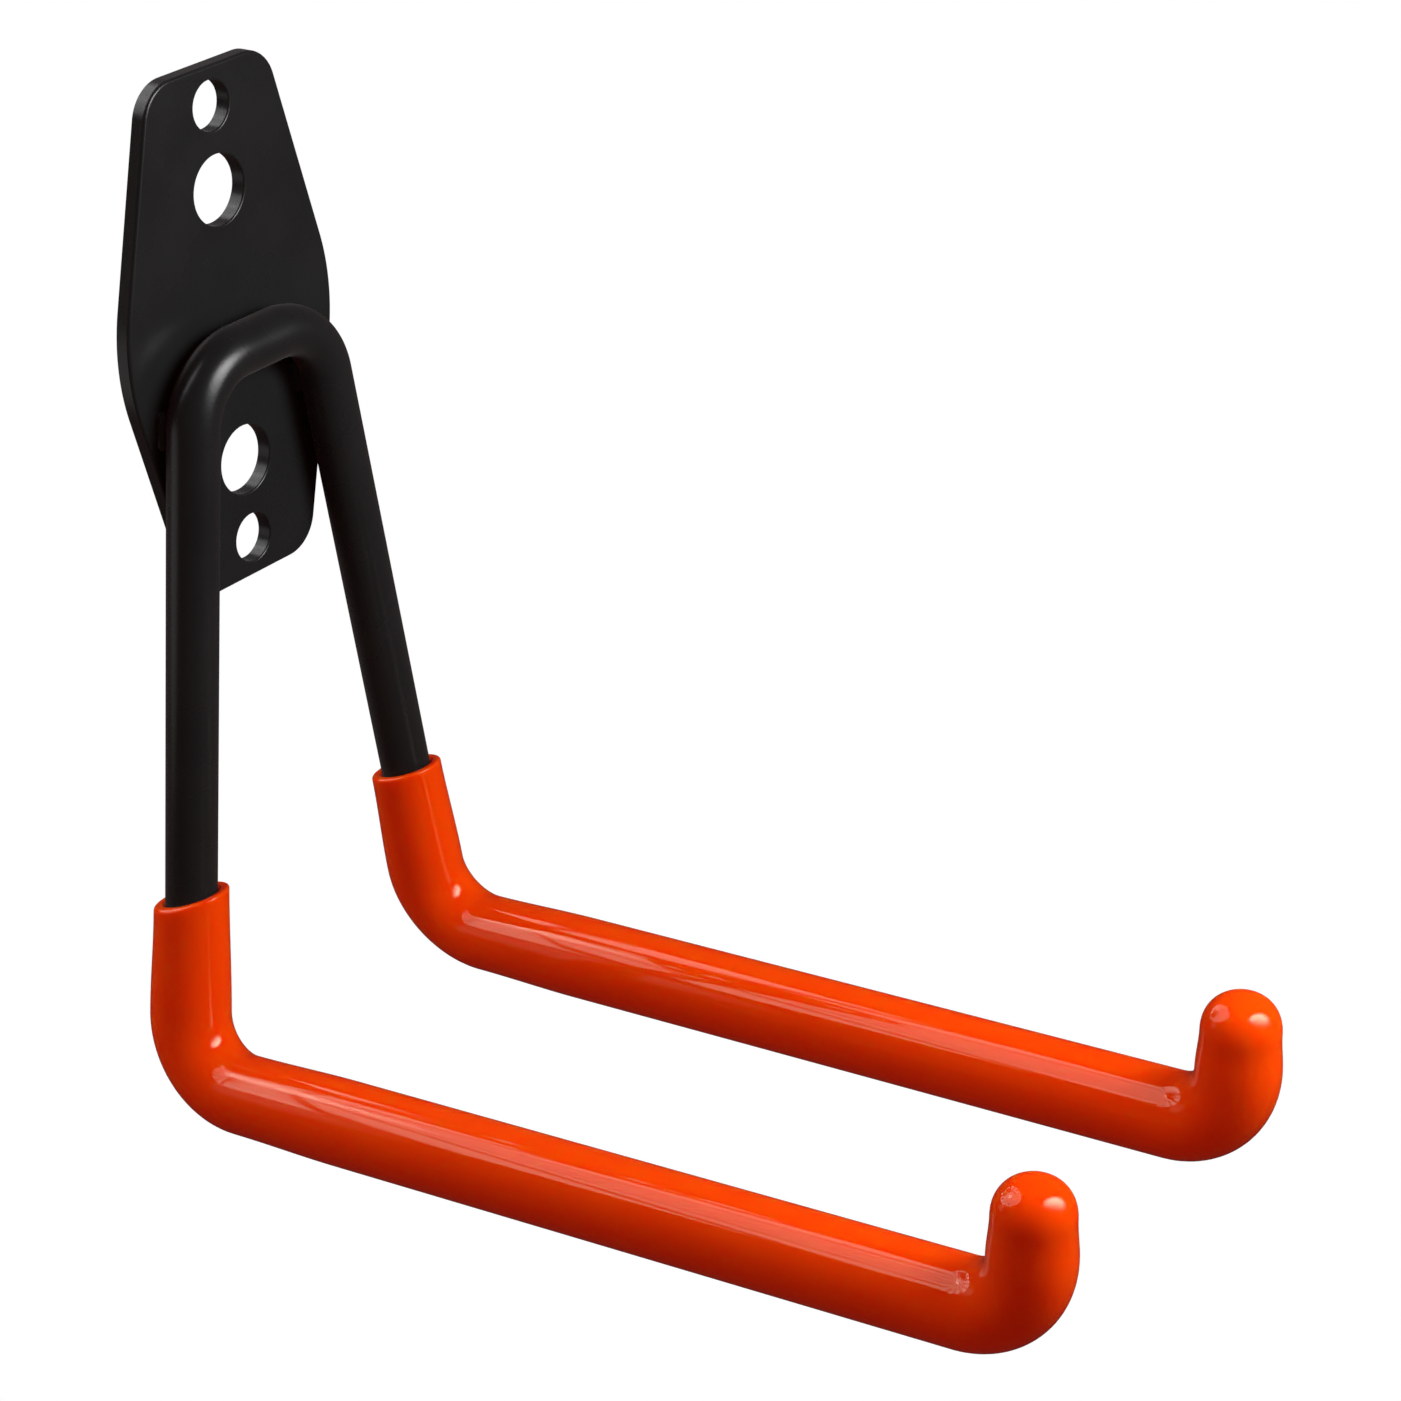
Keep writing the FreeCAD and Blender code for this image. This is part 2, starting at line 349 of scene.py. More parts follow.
def math_node(tree, operation, *values):
    """The result of a math node on values or sockets."""
    return add_node(tree, "ShaderNodeMath", dict(enumerate(values)), operation=operation).outputs[0]


def vector_node(tree, operation, first, second=None, scale=None):
    """The vector result of a vector math node."""
    inputs = {0: first}
    if second is not None:
        inputs[1] = second
    if scale is not None:
        inputs["Scale"] = scale
    return add_node(tree, "ShaderNodeVectorMath", inputs, operation=operation).outputs["Vector"]


def ramp(tree, value, span, results=(0.0, 1.0), blend="LINEAR"):
    """Maps a span of values to a span of results, which holds beyond both ends."""
    inputs = {"Value": value, "From Min": span[0], "From Max": span[1],
              "To Min": results[0], "To Max": results[1]}
    return add_node(tree, "ShaderNodeMapRange", inputs, interpolation_type=blend).outputs["Result"]


def colour_mix(tree, factor, first, second):
    """The blend of two colours, each a value or a socket."""
    mix = add_node(tree, "ShaderNodeMix", data_type="RGBA")
    tree.links.new(factor, mix.inputs["Factor"])
    for socket, tint in zip([s for s in mix.inputs if s.type == "RGBA"], (first, second)):
        if isinstance(tint, bpy.types.NodeSocket):
            tree.links.new(tint, socket)
        else:
            socket.default_value = (*tint, 1.0)
    return [s for s in mix.outputs if s.type == "RGBA"][0]


def skin_tree():
    """The tree that wraps a closed outline of distance and radius round a bent centreline."""
    name = "Skin along a bent centreline"
    if name in bpy.data.node_groups:
        return bpy.data.node_groups[name]
    tree = bpy.data.node_groups.new(name, "GeometryNodeTree")
    tree.is_modifier = True
    add_socket(tree, "Skin", "NodeSocketGeometry", "OUTPUT")
    add_socket(tree, "Corners", "NodeSocketGeometry",
               description="Centreline before its bends, each point with its bend's radius")
    add_socket(tree, "Outline", "NodeSocketObject", description="Points of distance and radius")
    add_socket(tree, "Bend steps", "NodeSocketInt", default=48)
    add_socket(tree, "Sides", "NodeSocketInt", default=64)
    add_socket(tree, "Sharp angle", "NodeSocketFloat", default=math.radians(40))
    add_socket(tree, "Finish", "NodeSocketMaterial")
    given = add_node(tree, "NodeGroupInput").outputs

    bend_radius = add_node(tree, "GeometryNodeInputRadius").outputs["Radius"]
    centreline = add_node(tree, "GeometryNodeFilletCurve", {
        "Curve": given["Corners"], "Radius": bend_radius, "Count": given["Bend steps"],
        "Limit Radius": True}, mode="POLY").outputs["Curve"]
    outline = add_node(tree, "GeometryNodeObjectInfo", {"Object": given["Outline"]}).outputs["Geometry"]
    outline_size = add_node(tree, "GeometryNodeAttributeDomainSize", {"Geometry": outline})
    rows = outline_size.outputs["Point Count"]
    columns = math_node(tree, "ADD", given["Sides"], 1.0)
    grid = add_node(tree, "GeometryNodeMeshGrid", {"Vertices X": rows, "Vertices Y": columns})

    index = add_node(tree, "GeometryNodeInputIndex").outputs["Index"]
    row = math_node(tree, "FLOOR", math_node(tree, "DIVIDE", math_node(tree, "ADD", index, 0.5), columns))
    column = math_node(tree, "SUBTRACT", index, math_node(tree, "MULTIPLY", row, columns))
    position = add_node(tree, "GeometryNodeInputPosition").outputs["Position"]
    sampled = add_node(tree, "GeometryNodeSampleIndex", {"Geometry": outline, "Value": position,
                                                         "Index": row}, data_type="FLOAT_VECTOR")
    split = add_node(tree, "ShaderNodeSeparateXYZ", {0: sampled.outputs["Value"]}).outputs
    distance, radius = split["X"], split["Y"]
    around = math_node(tree, "DIVIDE", column, given["Sides"])
    angle = math_node(tree, "MULTIPLY", around, math.tau)
    station = add_node(tree, "GeometryNodeSampleCurve", {"Curves": centreline, "Length": distance},
                       mode="LENGTH", use_all_curves=True).outputs
    across = vector_node(tree, "CROSS_PRODUCT", station["Tangent"], station["Normal"])
    ring = vector_node(tree, "ADD",
                       vector_node(tree, "SCALE", station["Normal"], scale=math_node(tree, "COSINE", angle)),
                       vector_node(tree, "SCALE", across, scale=math_node(tree, "SINE", angle)))
    spot = vector_node(tree, "ADD", station["Position"], vector_node(tree, "SCALE", ring, scale=radius))
    shaped = add_node(tree, "GeometryNodeSetPosition", {"Geometry": grid.outputs["Mesh"],
                                                        "Position": spot}).outputs["Geometry"]
    last_row = math_node(tree, "SUBTRACT", rows, 1.0)
    unwrapped = add_node(tree, "ShaderNodeCombineXYZ", {"X": around,
                                                        "Y": math_node(tree, "DIVIDE", row, last_row)})
    marked = add_node(tree, "GeometryNodeStoreNamedAttribute", {
        "Geometry": shaped, "Name": "UVMap", "Value": unwrapped.outputs["Vector"]},
        data_type="FLOAT2", domain="CORNER").outputs["Geometry"]
    closed = add_node(tree, "GeometryNodeMergeByDistance", {"Geometry": marked,
                                                            "Distance": MERGE_DISTANCE}).outputs["Geometry"]
    smooth = add_node(tree, "GeometryNodeSetShadeSmooth", {"Geometry": closed, "Shade Smooth": True},
                      domain="FACE").outputs["Geometry"]
    edge_angle = add_node(tree, "GeometryNodeInputMeshEdgeAngle").outputs["Unsigned Angle"]
    sharp = add_node(tree, "FunctionNodeCompare", {"A": edge_angle, "B": given["Sharp angle"]},
                     data_type="FLOAT", operation="GREATER_THAN").outputs["Result"]
    edged = add_node(tree, "GeometryNodeSetShadeSmooth", {"Geometry": smooth, "Selection": sharp,
                                                          "Shade Smooth": False}, domain="EDGE")
    real = add_node(tree, "GeometryNodeRealizeInstances", {"Geometry": edged.outputs["Geometry"]})
    done = add_node(tree, "GeometryNodeSetMaterial", {"Geometry": real.outputs["Geometry"],
                                                      "Material": given["Finish"]})
    add_node(tree, "NodeGroupOutput", {"Skin": done.outputs["Geometry"]})
    return tree


def set_input(modifier, name, value):
    """Sets one named input of a Geometry Nodes modifier."""
    for item in modifier.node_group.interface.items_tree:
        if item.item_type == "SOCKET" and item.in_out == "INPUT" and item.name == name:
            modifier[item.identifier] = value
            return
    raise KeyError(name)


def faces_outwards(mesh):
    """Turns a closed mesh the right way out."""
    shell = bmesh.new()
    shell.from_mesh(mesh)
    if shell.calc_volume(signed=True) < 0:
        bmesh.ops.reverse_faces(shell, faces=shell.faces[:])
    shell.to_mesh(mesh)
    shell.free()


def skin(name, corners, bends, outline, finish, sides):
    """One plain mesh wrapped round a centreline with a bend at each inner corner."""
    curve = bpy.data.curves.new(name + "_centreline", "CURVE")
    curve.dimensions = "3D"
    spline = curve.splines.new("POLY")
    spline.points.add(len(corners) - 1)
    for point, corner, radius in zip(spline.points, corners, [0.0, *bends, 0.0]):
        point.co = (*corner, 1.0)
        point.radius = radius
    centreline = bpy.data.objects.new(name + "_centreline", curve)
    points = bpy.data.meshes.new(name + "_outline")
    points.from_pydata([(distance, radius, 0.0) for distance, radius in outline], [], [])
    outline_object = bpy.data.objects.new(name + "_outline", points)
    for helper in (centreline, outline_object):
        bpy.context.scene.collection.objects.link(helper)
    modifier = centreline.modifiers.new("Skin", "NODES")
    modifier.node_group = skin_tree()
    for key, value in (("Outline", outline_object), ("Sides", sides), ("Finish", finish)):
        set_input(modifier, key, value)
    bpy.context.view_layer.update()
    evaluated = centreline.evaluated_get(bpy.context.evaluated_depsgraph_get())
    mesh = bpy.data.meshes.new_from_object(evaluated)
    mesh.name = name
    centreline.modifiers.remove(modifier)
    for helper in (centreline, outline_object):
        data = helper.data
        bpy.data.objects.remove(helper)
        (bpy.data.curves if isinstance(data, bpy.types.Curve) else bpy.data.meshes).remove(data)
    faces_outwards(mesh)
    return add_piece(name, mesh)


def slant_rim(mesh, rim, leg, tilt, fade, reach):
    """Slides the skin along a straight leg, so that its rim lies in a tilted plane."""
    rim_up = Vector((0.0, math.sin(tilt), math.cos(tilt)))
    for vertex in mesh.vertices:
        offset = vertex.co - rim
        along = offset.dot(leg)
        aside = offset - leg * along
        if along < fade and aside.length < reach:
            vertex.co -= leg * (aside.dot(rim_up) / leg.dot(rim_up) * (1 - eased(along / fade)))
    mesh.update()


def add_piece(name, mesh):
    """An object at the origin that holds a finished mesh."""
    piece = bpy.data.objects.new(name, mesh)
    bpy.context.scene.collection.objects.link(piece)
    return piece


def finish_piece(piece, node):
    """Ties a piece to the hook's body and hides the packed node that it stands for."""
    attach(piece, "root")
    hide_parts(node)


def rounded_corners(corners, radii, arc_steps):
    """Points and outward directions of a closed convex outline with rounded corners."""
    ring = []
    count = len(corners)
    for index in range(count):
        before, corner, after = corners[index - 1], corners[index], corners[(index + 1) % count]
        to_before = (before - corner).normalized()
        to_after = (after - corner).normalized()
        half = to_before.angle(to_after) / 2
        centre = corner + (to_before + to_after).normalized() * (radii[index] / math.sin(half))
        first = (corner + to_before * (radii[index] / math.tan(half)) - centre).normalized()
        last = (corner + to_after * (radii[index] / math.tan(half)) - centre).normalized()
        for step in range(arc_steps + 1):
            outward = first.slerp(last, step / arc_steps)
            ring.append((centre + outward * radii[index], outward))
    return ring


def hole_ring(height, radius, count):
    """Points of a round hole and their directions into the plate, in the same turning sense."""
    ring = []
    for index in range(count):
        angle = math.tau * index / count
        outward = Vector((math.cos(angle), 0.0, math.sin(angle)))
        ring.append((Vector((0.0, 0.0, height)) + outward * radius, -outward))
    return ring


def edge_section(thickness, front, back, steps):
    """Inset and depth of the plate's edge, from the back face round to the front face."""
    section = []
    for index in range(steps + 1):
        angle = math.pi / 2 * index / steps
        section.append((back * (1 - math.sin(angle)), back * (1 - math.cos(angle))))
    for index in range(steps + 1):
        angle = math.pi / 2 * index / steps
        section.append((front * (1 - math.cos(angle)), thickness - front * (1 - math.sin(angle))))
    return section


def plate_mesh(plate):
    """The stamped plate with its four holes, rounded at the front and the back."""
    end_x, side_x, end_z = plate.end_width / 2, plate.middle_width / 2, plate.height / 2
    corners = [Vector((x, 0.0, z)) for x, z in (
        (-end_x, end_z), (end_x, end_z), (side_x, 0.0), (end_x, -end_z), (-end_x, -end_z), (-side_x, 0.0))]
    radii = [plate.end_radius, plate.end_radius, plate.side_radius] * 2
    small = plate.height / 2 - plate.small_hole_inset
    large = small - plate.large_hole_step
    rings = [(rounded_corners(corners, radii, CORNER_STEPS), plate.front_rounding)]
    for height, diameter in ((small, plate.small_hole), (large, plate.large_hole),
                             (-large, plate.large_hole), (-small, plate.small_hole)):
        rings.append((hole_ring(height, diameter / 2, HOLE_STEPS), plate.hole_rounding))
    shell = bmesh.new()
    faces = {"back": [], "front": []}
    for ring, rounding in rings:
        section = edge_section(plate.thickness, rounding, plate.back_rounding, EDGE_STEPS)
        layers = [[shell.verts.new(point - outward * inset + Vector((0.0, -depth, 0.0)))
                   for point, outward in ring] for inset, depth in section]
        for lower, upper in zip(layers, layers[1:]):
            for index in range(len(ring)):
                following = (index + 1) % len(ring)
                shell.faces.new((lower[index], lower[following], upper[following], upper[index]))
        for face, layer in (("back", layers[0]), ("front", layers[-1])):
            faces[face] += [shell.edges.get((layer[index], layer[(index + 1) % len(ring)]))
                            for index in range(len(ring))]
    for edges in faces.values():
        bmesh.ops.triangle_fill(shell, use_beauty=True, use_dissolve=False, edges=edges)
    bmesh.ops.recalc_face_normals(shell, faces=shell.faces[:])
    for face in shell.faces:
        face.smooth = True
    mesh = bpy.data.meshes.new("wall_plate_coated")
    shell.to_mesh(mesh)
    shell.free()
    return mesh


def applied(piece):
    """Turns a piece's modifiers into its mesh."""
    evaluated = piece.evaluated_get(bpy.context.evaluated_depsgraph_get())
    mesh = bpy.data.meshes.new_from_object(evaluated)
    piece.modifiers.clear()
    old = piece.data
    piece.data = mesh
    bpy.data.meshes.remove(old)


def relief_group():
    """Shared relief: a height and a mask from noise of a given size."""
    name = "Coating relief"
    if name in bpy.data.node_groups:
        return bpy.data.node_groups[name]
    group = bpy.data.node_groups.new(name, "ShaderNodeTree")
    add_socket(group, "Size", "NodeSocketFloat", default=0.001, description="Size of one grain or wave")
    add_socket(group, "Detail", "NodeSocketFloat", default=2.0)
    add_socket(group, "Patch size", "NodeSocketFloat", default=0.02,
               description="Size of the mask's patches")
    add_socket(group, "Height", "NodeSocketFloat", "OUTPUT")
    add_socket(group, "Mask", "NodeSocketFloat", "OUTPUT")
    given = add_node(group, "NodeGroupInput").outputs
    spot = add_node(group, "ShaderNodeTexCoord").outputs["Object"]
    grain = add_node(group, "ShaderNodeTexNoise", {
        "Vector": spot, "Scale": math_node(group, "DIVIDE", 1.0, given["Size"]),
        "Detail": given["Detail"]})
    patches = add_node(group, "ShaderNodeTexNoise", {
        "Vector": spot, "Scale": math_node(group, "DIVIDE", 1.0, given["Patch size"]), "Detail": 3.0})
    add_node(group, "NodeGroupOutput", {"Height": grain.outputs["Fac"], "Mask": patches.outputs["Fac"]})
    return group


def new_material(name):
    """A material with a Principled shader, and its tree and shader."""
    material = bpy.data.materials.new(name)
    material.use_nodes = True
    tree = material.node_tree
    return material, tree, tree.nodes["Principled BSDF"]


def coated_finish(name, look, relief, shades, roughness, unevenness, height, painted_reflection_shade=None):
    """Fills a material's colour, roughness and bump from the shared relief, and, if given, a painted
    reflection colour that glossy rays see in place of the material's own colour.
    """
    material, tree, shader = new_material(name)
    group = add_node(tree, "ShaderNodeGroup", node_tree=relief_group())
    for key, value in relief.items():
        group.inputs[key].default_value = value
    mask = group.outputs["Mask"]
    tint = colour_mix(tree, ramp(tree, mask, MASK_SPAN), *shades)
    # Painted reflection: glossy rays see this colour instead of the material's own colour.
    if painted_reflection_shade is not None:
        path = add_node(tree, "ShaderNodeLightPath").outputs
        tint = colour_mix(tree, path["Is Glossy Ray"], tint, painted_reflection_shade)
    tree.links.new(tint, shader.inputs["Base Color"])
    rough = ramp(tree, mask, MASK_SPAN, (roughness - unevenness, roughness + unevenness))
    tree.links.new(rough, shader.inputs["Roughness"])
    bump = add_node(tree, "ShaderNodeBump", {"Strength": 1.0, "Distance": height,
                                             "Height": group.outputs["Height"]})
    tree.links.new(bump.outputs["Normal"], shader.inputs["Normal"])
    for key, value in look.items():
        shader.inputs[key].default_value = value
    return material


def black_coat():
    """Satin black powder coat with a fine grain."""
    if "black_coat_finish" in bpy.data.materials:
        return bpy.data.materials["black_coat_finish"]
    finishes = bpy.context.scene.hook_finishes
    return coated_finish("black_coat_finish", {"IOR": 1.44, "Sheen Weight": 0.07, "Sheen Roughness": 0.5},
                         {"Size": finishes.coat_grain, "Detail": 2.5, "Patch size": finishes.coat_patch},
                         (finishes.coat, finishes.coat_thin), finishes.coat_roughness,
                         finishes.coat_unevenness, finishes.coat_relief)


def orange_plastic():
    """Glossy dipped plastic with slow waves in its skin, and a painted dark reflection: a coat that mirrors
    it shows a dark colour instead of the orange.
    """
    if "orange_sleeve_finish" in bpy.data.materials:
        return bpy.data.materials["orange_sleeve_finish"]
    finishes = bpy.context.scene.hook_finishes
    look = {"IOR": 1.43, "Specular Tint": (1.0, 1.0, 0.75, 1.0), "Subsurface Weight": 1.0,
            "Subsurface Scale": finishes.plastic_depth, "Subsurface Radius": (1.0, 0.1, 0.03)}
    return coated_finish("orange_sleeve_finish", look,
                         {"Size": finishes.plastic_ripple, "Detail": 1.0,
                          "Patch size": finishes.plastic_patch},
                         (finishes.plastic, finishes.plastic_deep), finishes.plastic_roughness,
                         finishes.plastic_unevenness, finishes.plastic_relief,
                         finishes.plastic_painted_reflection)


class HOOK_OT_wall_plate(bpy.types.Operator):
    """Builds the stamped wall plate"""

    bl_idname = "hook.wall_plate"
    bl_label = "Wall plate"

    def execute(self, context):
        piece = add_piece("coated_plate", plate_mesh(context.scene.hook_plate))
        piece.data.materials.append(black_coat())
        weighted = piece.modifiers.new("Flat faces", "WEIGHTED_NORMAL")
        weighted.keep_sharp = True
        applied(piece)
        finish_piece(piece, "wall_plate")
        return {"FINISHED"}


class HOOK_OT_rod(bpy.types.Operator):
    """Builds the one bent rod"""

    bl_idname = "hook.rod"
    bl_label = "Rod"

    def execute(self, context):
        rod, plate = context.scene.hook_rod, context.scene.hook_plate
        bar, foot, arm_end, dome = rod_corners(rod, plate)
        right = [bar, foot, arm_end, beyond(arm_end, dome, rod.end_length)]
        corners = mirrored(reversed(right), -1.0) + right
        bends = [rod.bend_radius, rod.bend_radius, rod.tip_bend_radius]
        bends = bends[::-1] + bends
        radius, chamfer = rod.diameter / 2, rod.end_chamfer
        whole = bend_marks(corners, bends)[1]
        outline = [(0.0, 0.0), (0.0, radius - chamfer)]
        outline += [(distance, radius) for distance in steps_between(chamfer, whole - chamfer, SKIN_STEP)]
        outline += [(whole, radius - chamfer), (whole, 0.0)]
        piece = skin("coated_rod", corners, bends, outline, black_coat(), ROD_SIDES)
        finish_piece(piece, "hook_rod")
        return {"FINISHED"}


class HOOK_OT_sleeves(bpy.types.Operator):
    """Builds the two dipped sleeves"""

    bl_idname = "hook.sleeves"
    bl_label = "Sleeves"

    def dome(self, start, radius, fullness):
        """Distance and radius over the dome, from past its foot to its top."""
        points = []
        for index in range(1, DOME_STEPS):
            angle = math.pi / 2 * index / DOME_STEPS
            points.append((start + radius * math.sin(angle) ** (2 / fullness),
                           radius * math.cos(angle) ** (2 / fullness)))
        return points + [(start + radius, 0.0)]

    def outline(self, sleeve, rod, marks, whole):
        """Distance and radius from the bottom of the bore, out over the lip, to the dome's top."""
        (heel_start, heel_end), (tip_start, tip_end) = marks
        dome = whole - sleeve.dome_radius
        bore = rod.diameter / 2 + sleeve.clearance
        bottom = dome + rod.end_length + sleeve.end_gap
        stretches = ((sleeve.rim_radius, sleeve.heel_radius, 0.0, heel_start),
                     (sleeve.heel_radius, sleeve.arm_radius, heel_end, heel_end + sleeve.taper_length),
                     (sleeve.arm_radius, sleeve.tip_radius, tip_start, tip_end),
                     (sleeve.tip_radius, sleeve.dome_radius, tip_end, dome))

        def skin_radius(distance):
            return sleeve.rim_radius + sum(
                (after - before) * eased((distance - start) / (end - start))
                for before, after, start, end in stretches)

        points = [(bottom, 0.0)]
        points += [(distance, bore) for distance in steps_between(bottom, sleeve.mouth_flare, SKIN_STEP)]
        points.append((0.0, bore + sleeve.mouth_flare))
        lip = sleeve.lip_rounding
        points += quarter_round((lip, sleeve.rim_radius - lip), lip, math.pi, LIP_STEPS)
        points += [(distance, skin_radius(distance))
                   for distance in steps_between(lip, dome, SKIN_STEP)[1:]]
        return points + self.dome(dome, sleeve.dome_radius, sleeve.dome_fullness)

    def execute(self, context):
        scene = context.scene
        rod, sleeve = scene.hook_rod, scene.hook_sleeves
        bar, foot, arm_end, dome = rod_corners(rod, scene.hook_plate)
        rim = foot + (bar - foot).normalized() * sleeve.rim_distance
        right = [rim, foot, arm_end, beyond(arm_end, dome, sleeve.dome_radius)]
        bends = [rod.bend_radius, rod.tip_bend_radius]
        marks, whole = bend_marks(right, bends)
        outline = self.outline(sleeve, rod, marks, whole)
        for side, sign in SIDES:
            corners = mirrored(right, sign)
            piece = skin(f"{side}_dipped_sleeve", corners, bends, outline, orange_plastic(),
                         SLEEVE_SIDES)
            slant_rim(piece.data, corners[0], (corners[1] - corners[0]).normalized(), sleeve.rim_tilt,
                      marks[0][0], 2 * sleeve.heel_radius)
            finish_piece(piece, f"{side}_sleeve")
        return {"FINISHED"}


class HOOK_OT_welds(bpy.types.Operator):
    """Builds the weld beads between the legs and the plate"""

    bl_idname = "hook.welds"
    bl_label = "Weld beads"

    def bead(self, name, weld, centre, leg):
        """One bead along the leg, with rounded ends."""
        half = weld.bead_length / 2
        ends = [centre - leg * half, centre + leg * half]
        outline = []
        for distance in steps_between(0.0, weld.bead_length, BEAD_STEP):
            from_end = min(distance, weld.bead_length - distance) / weld.bead_radius
            rise = math.sqrt(max(0.0, 1 - (1 - min(1.0, from_end)) ** 2))
            outline.append((distance, weld.bead_radius * rise))
        return skin(name, ends, [], outline, black_coat(), BEAD_SIDES)

    def execute(self, context):
        scene = context.scene
        weld, rod, plate = scene.hook_welds, scene.hook_rod, scene.hook_plate
        bar, foot = rod_corners(rod, plate)[:2]
        leg = (foot - bar).normalized()
        across = leg.cross(Vector((0.0, 1.0, 0.0))).normalized()
        seam_y = -(plate.thickness + weld.lift)
        reach = math.sqrt((rod.diameter / 2 + weld.standoff) ** 2 - (bar.y - seam_y) ** 2)
        beads = []
        for sign in (1.0, -1.0):
            centre = bar + leg * ((weld.height - bar.z) / leg.z) + across * (sign * reach)
            centre.y = seam_y
            for side, mirror in SIDES:
                middle, way = mirrored([centre, leg], mirror)
                beads.append(self.bead(f"{side}_bead_{len(beads)}", weld, middle, way))
        piece = beads[0]
        with context.temp_override(active_object=piece, selected_editable_objects=beads):
            bpy.ops.object.join()
        piece.name = "weld_beads"
        finish_piece(piece, "weld_seams")
        return {"FINISHED"}


def add_lamp(name, start, target, width, height, turn, power):
    """The tree of a new oval lamp that points from start to target and that the camera doesn't see."""
    light = bpy.data.lights.new(name, "AREA")
    light.shape = "ELLIPSE"
    light.size = width
    light.size_y = height
    light.energy = power
    lamp = bpy.data.objects.new(name, light)
    bpy.context.scene.collection.objects.link(lamp)
    lamp.location = start
    pointing = (Vector(target) - Vector(start)).to_track_quat("-Z", "Y")
    lamp.rotation_euler = (pointing @ Quaternion((0.0, 0.0, 1.0), turn)).to_euler()
    lamp.visible_camera = False
    light.use_nodes = True
    return light.node_tree


def disc_coordinates(tree):
    """Offset from the middle of a lamp, from -1 to 1, and the distance from the middle."""
    parametric = add_node(tree, "ShaderNodeNewGeometry").outputs["Parametric"]
    doubled = vector_node(tree, "SCALE", parametric, scale=2.0)
    offset = vector_node(tree, "ADD", doubled, (-1.0, -1.0, 0.0))
    split = add_node(tree, "ShaderNodeSeparateXYZ", {0: offset}).outputs
    flat = add_node(tree, "ShaderNodeCombineXYZ", {"X": split["X"], "Y": split["Y"]}).outputs["Vector"]
    middle = add_node(tree, "ShaderNodeVectorMath", {0: flat}, operation="LENGTH").outputs["Value"]
    return split["X"], split["Y"], middle


